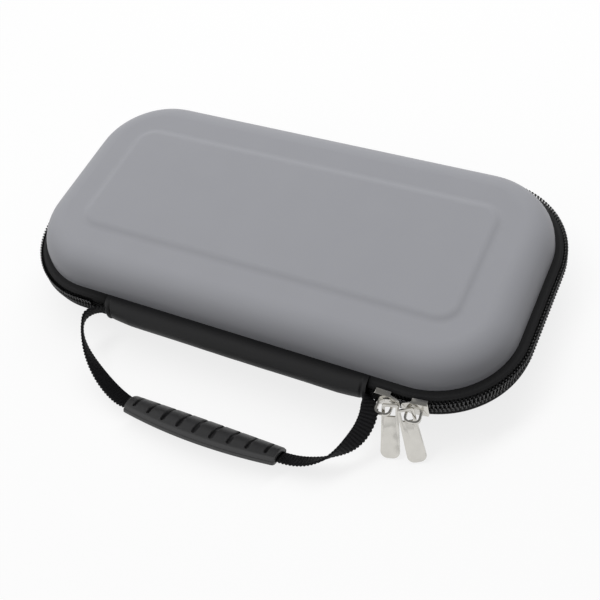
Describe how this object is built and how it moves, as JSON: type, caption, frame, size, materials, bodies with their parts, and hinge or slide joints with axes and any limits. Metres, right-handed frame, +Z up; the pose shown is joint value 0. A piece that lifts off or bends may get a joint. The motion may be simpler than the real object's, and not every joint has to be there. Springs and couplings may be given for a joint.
{
  "type": "portable game console case",
  "caption": "Hard zip-up travel case for a hand-held game console, with a soft hinge spine, webbing carry handle and zip pulls.",
  "frame": {"origin": "middle of the flat face that the base rests on", "axes": "+X along the long side, +Y away from the hinge spine and the handle, +Z up from the table to the lid"},
  "size_m": [0.2614, 0.176, 0.0449],
  "materials": {
    "shell_grey": "soft-touch coated foam shell",
    "zip_tape": "woven zip tape",
    "zip_coil": "nylon coil",
    "spine_black": "smooth coated cloth",
    "nickel": "polished nickel plate",
    "webbing": "ribbed webbing",
    "grip_rubber": "matt moulded rubber",
    "lining_cloth": "brushed lining cloth",
    "net_cloth": "fine net",
    "elastic": "woven elastic"
  },
  "bodies": {
    "base": {"base_shell": "shell_grey", "base_zip_tape": "zip_tape", "base_zip_coil": "zip_coil", "hinge_spine": "spine_black", "inner_slider": "nickel", "base_binding": "lining_cloth", "console_strap": "elastic"},
    "lid": {"lid_shell": "shell_grey", "lid_zip_tape": "zip_tape", "lid_zip_coil": "zip_coil", "lid_binding": "lining_cloth", "pocket_net": "net_cloth", "pocket_elastic": "elastic", "card_page": "lining_cloth", "front_card_pockets": "net_cloth", "back_card_pockets": "net_cloth"},
    "handle": {"handle_webbing": "webbing", "handle_grip": "grip_rubber"},
    "run_slider": {"outer_slider": "nickel"},
    "run_pull": {"outer_pull": "nickel"},
    "parked_pull": {"inner_pull": "nickel"}
  },
  "joints": [
    {"name": "lid_hinge", "type": "hinge", "parent": "base", "child": "lid", "pos_m": [0, -0.0666, 0.023], "axis": [1, 0, 0], "range_deg": [0, 110], "deforming": ["hinge_spine", "lid_zip_tape", "lid_zip_coil"]},
    {"name": "handle_swing", "type": "hinge", "parent": "base", "child": "handle", "pos_m": [0, -0.0665, 0.0215], "axis": [1, 0, 0], "range_deg": [-110, 0], "deforming": ["handle_webbing"]},
    {"name": "outer_slider_run", "type": "hinge", "parent": "base", "child": "run_slider", "pos_m": [0.087, -0.0225, 0.023], "axis": [0, 0, 1], "range_deg": [0, 70]},
    {"name": "outer_pull_swing", "type": "hinge", "parent": "run_slider", "child": "run_pull", "pos_m": [0.09037, -0.07084, 0.023], "axis": [-0.9908, -0.1353, 0], "range_deg": [-19, 17]},
    {"name": "inner_pull_swing", "type": "hinge", "parent": "base", "child": "parked_pull", "pos_m": [0.0835, -0.07085, 0.023], "axis": [-1, 0, 0], "range_deg": [-20, 15]}
  ]
}
